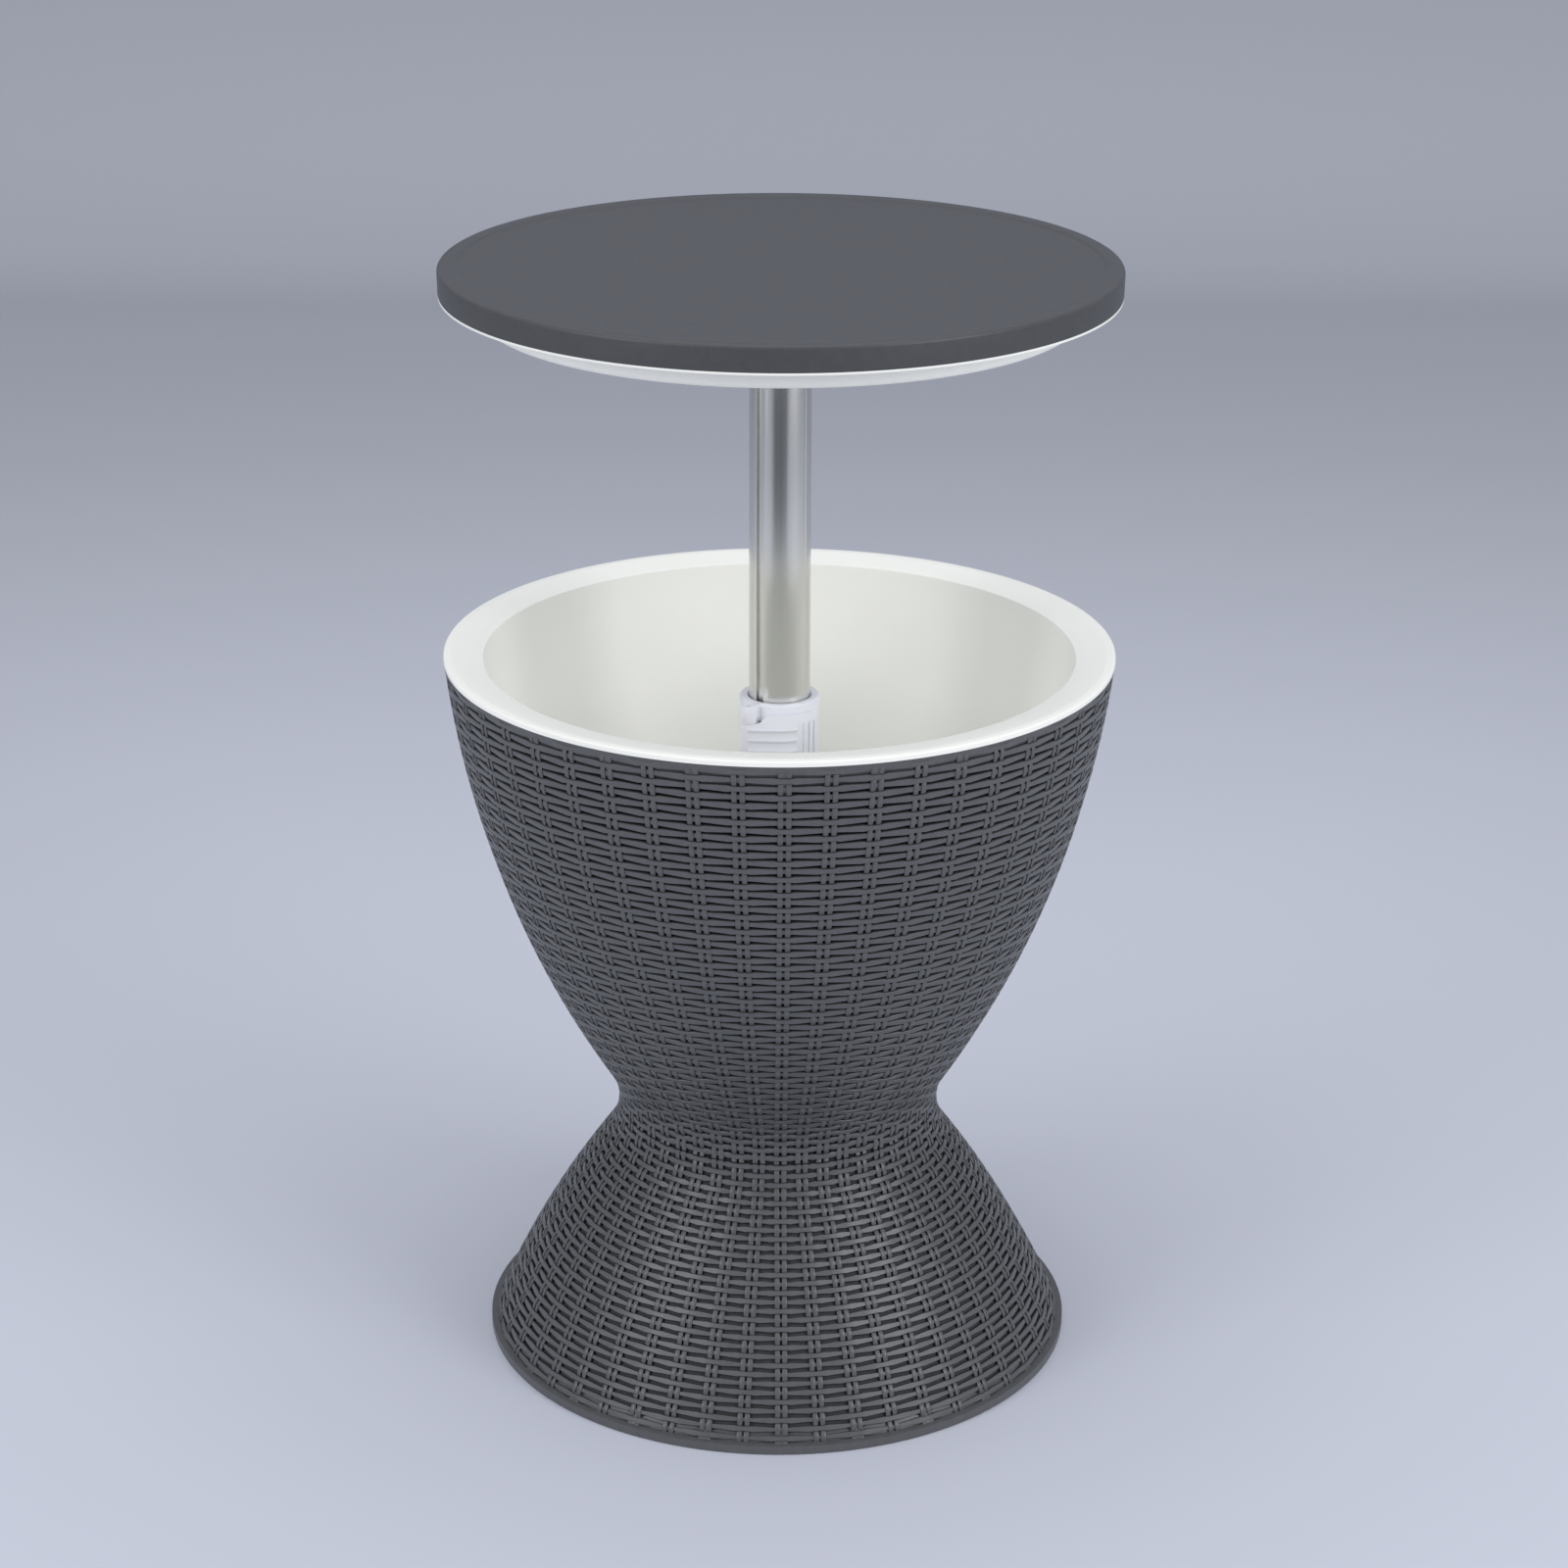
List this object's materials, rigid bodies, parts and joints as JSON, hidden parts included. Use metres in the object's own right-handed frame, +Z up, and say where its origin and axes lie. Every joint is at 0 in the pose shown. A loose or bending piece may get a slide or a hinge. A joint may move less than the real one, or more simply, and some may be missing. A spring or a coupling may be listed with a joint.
{
  "type": "cooler table",
  "caption": "Round patio side table whose lid rises on a clamped mast over an ice bowl, on an hourglass housing with a moulded wicker look.",
  "frame": {"origin": "centre of the foot ring, on the floor", "axes": "+Z up along the mast; -Y towards the viewer of the picture, +X to the viewer's right"},
  "size_m": [0.4956, 0.4956, 0.84],
  "materials": {
    "housing_plastic": "satin moulded wicker look",
    "white_plastic": "satin",
    "mast_aluminium": "satin drawn",
    "bush_plastic": "plain",
    "seal_rubber": "plain",
    "screw_steel": "plain"
  },
  "bodies": {
    "housing": {"base_shell": "housing_plastic", "barrel_shell": "housing_plastic", "housing_screws": "screw_steel", "ice_bowl": "white_plastic", "column_sleeve": "white_plastic", "column_seal": "seal_rubber", "column_nut": "white_plastic", "drain_seat": "white_plastic", "drain_seal": "seal_rubber", "drain_nut": "white_plastic", "guide_bush": "bush_plastic", "clamp_collar": "white_plastic", "collar_screws": "screw_steel", "lever_pin": "screw_steel"},
    "lid": {"mast_glide": "bush_plastic", "mast_tube": "mast_aluminium", "mast_socket": "white_plastic", "mast_screws": "screw_steel", "lid_underside": "white_plastic", "lid_top": "housing_plastic", "lid_screws": "screw_steel", "socket_screws": "screw_steel"},
    "lever": {"clamp_lever": "white_plastic"},
    "pad": {"brake_pad": "seal_rubber"},
    "plug": {"drain_plug": "white_plastic", "plug_seal": "seal_rubber"}
  },
  "joints": [
    {"name": "lid_lift", "type": "slide", "parent": "housing", "child": "lid", "axis": [0, 0, 1], "range_m": [-0.2673, 0]},
    {"name": "lever_swing", "type": "hinge", "parent": "housing", "child": "lever", "pos_m": [-0.02269, -0.02704, 0.487], "axis": [0, 0, -1], "range_deg": [0, 110]},
    {"name": "pad_press", "type": "slide", "parent": "housing", "child": "pad", "axis": [-0.6428, -0.766, 0], "range_m": [0, 0.0007]},
    {"name": "plug_lift", "type": "slide", "parent": "housing", "child": "plug", "axis": [0, 0, 1], "range_m": [0, 0.22]}
  ],
  "couplings": [
    {"joint": "pad_press", "follows": "lever_swing", "m_per_rad": 0.0003645}
  ]
}
